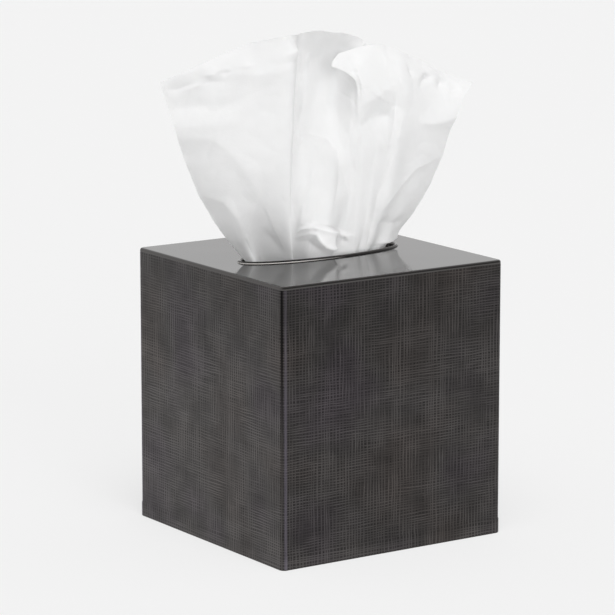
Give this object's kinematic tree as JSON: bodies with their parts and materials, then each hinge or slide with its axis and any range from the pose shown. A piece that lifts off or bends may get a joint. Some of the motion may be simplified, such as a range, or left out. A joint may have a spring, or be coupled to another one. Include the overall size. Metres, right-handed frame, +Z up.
{
  "type": "tissue box",
  "caption": "Square dark metal tissue box cover with an oval top opening and a tissue drawn up through it, standing over a carton of facial tissues.",
  "frame": {"origin": "middle of the cover's footprint, on the surface it stands on", "axes": "+Z up; +X along the oval opening's length; -Y towards the larger wall in view"},
  "size_m": [0.1626, 0.1306, 0.2488],
  "materials": {
    "cover": "dark nickel plate, satin polished top, etched linen-like sides",
    "carton": "plain matt paperboard",
    "film": "clear thin film",
    "pack": "soft white tissue paper",
    "tissue": "soft white two-ply tissue paper"
  },
  "bodies": {
    "root": {"cover": "cover", "carton": "carton", "slit_film": "film", "tissue_pack": "pack", "raised_tissue": "tissue"}
  },
  "joints": []
}
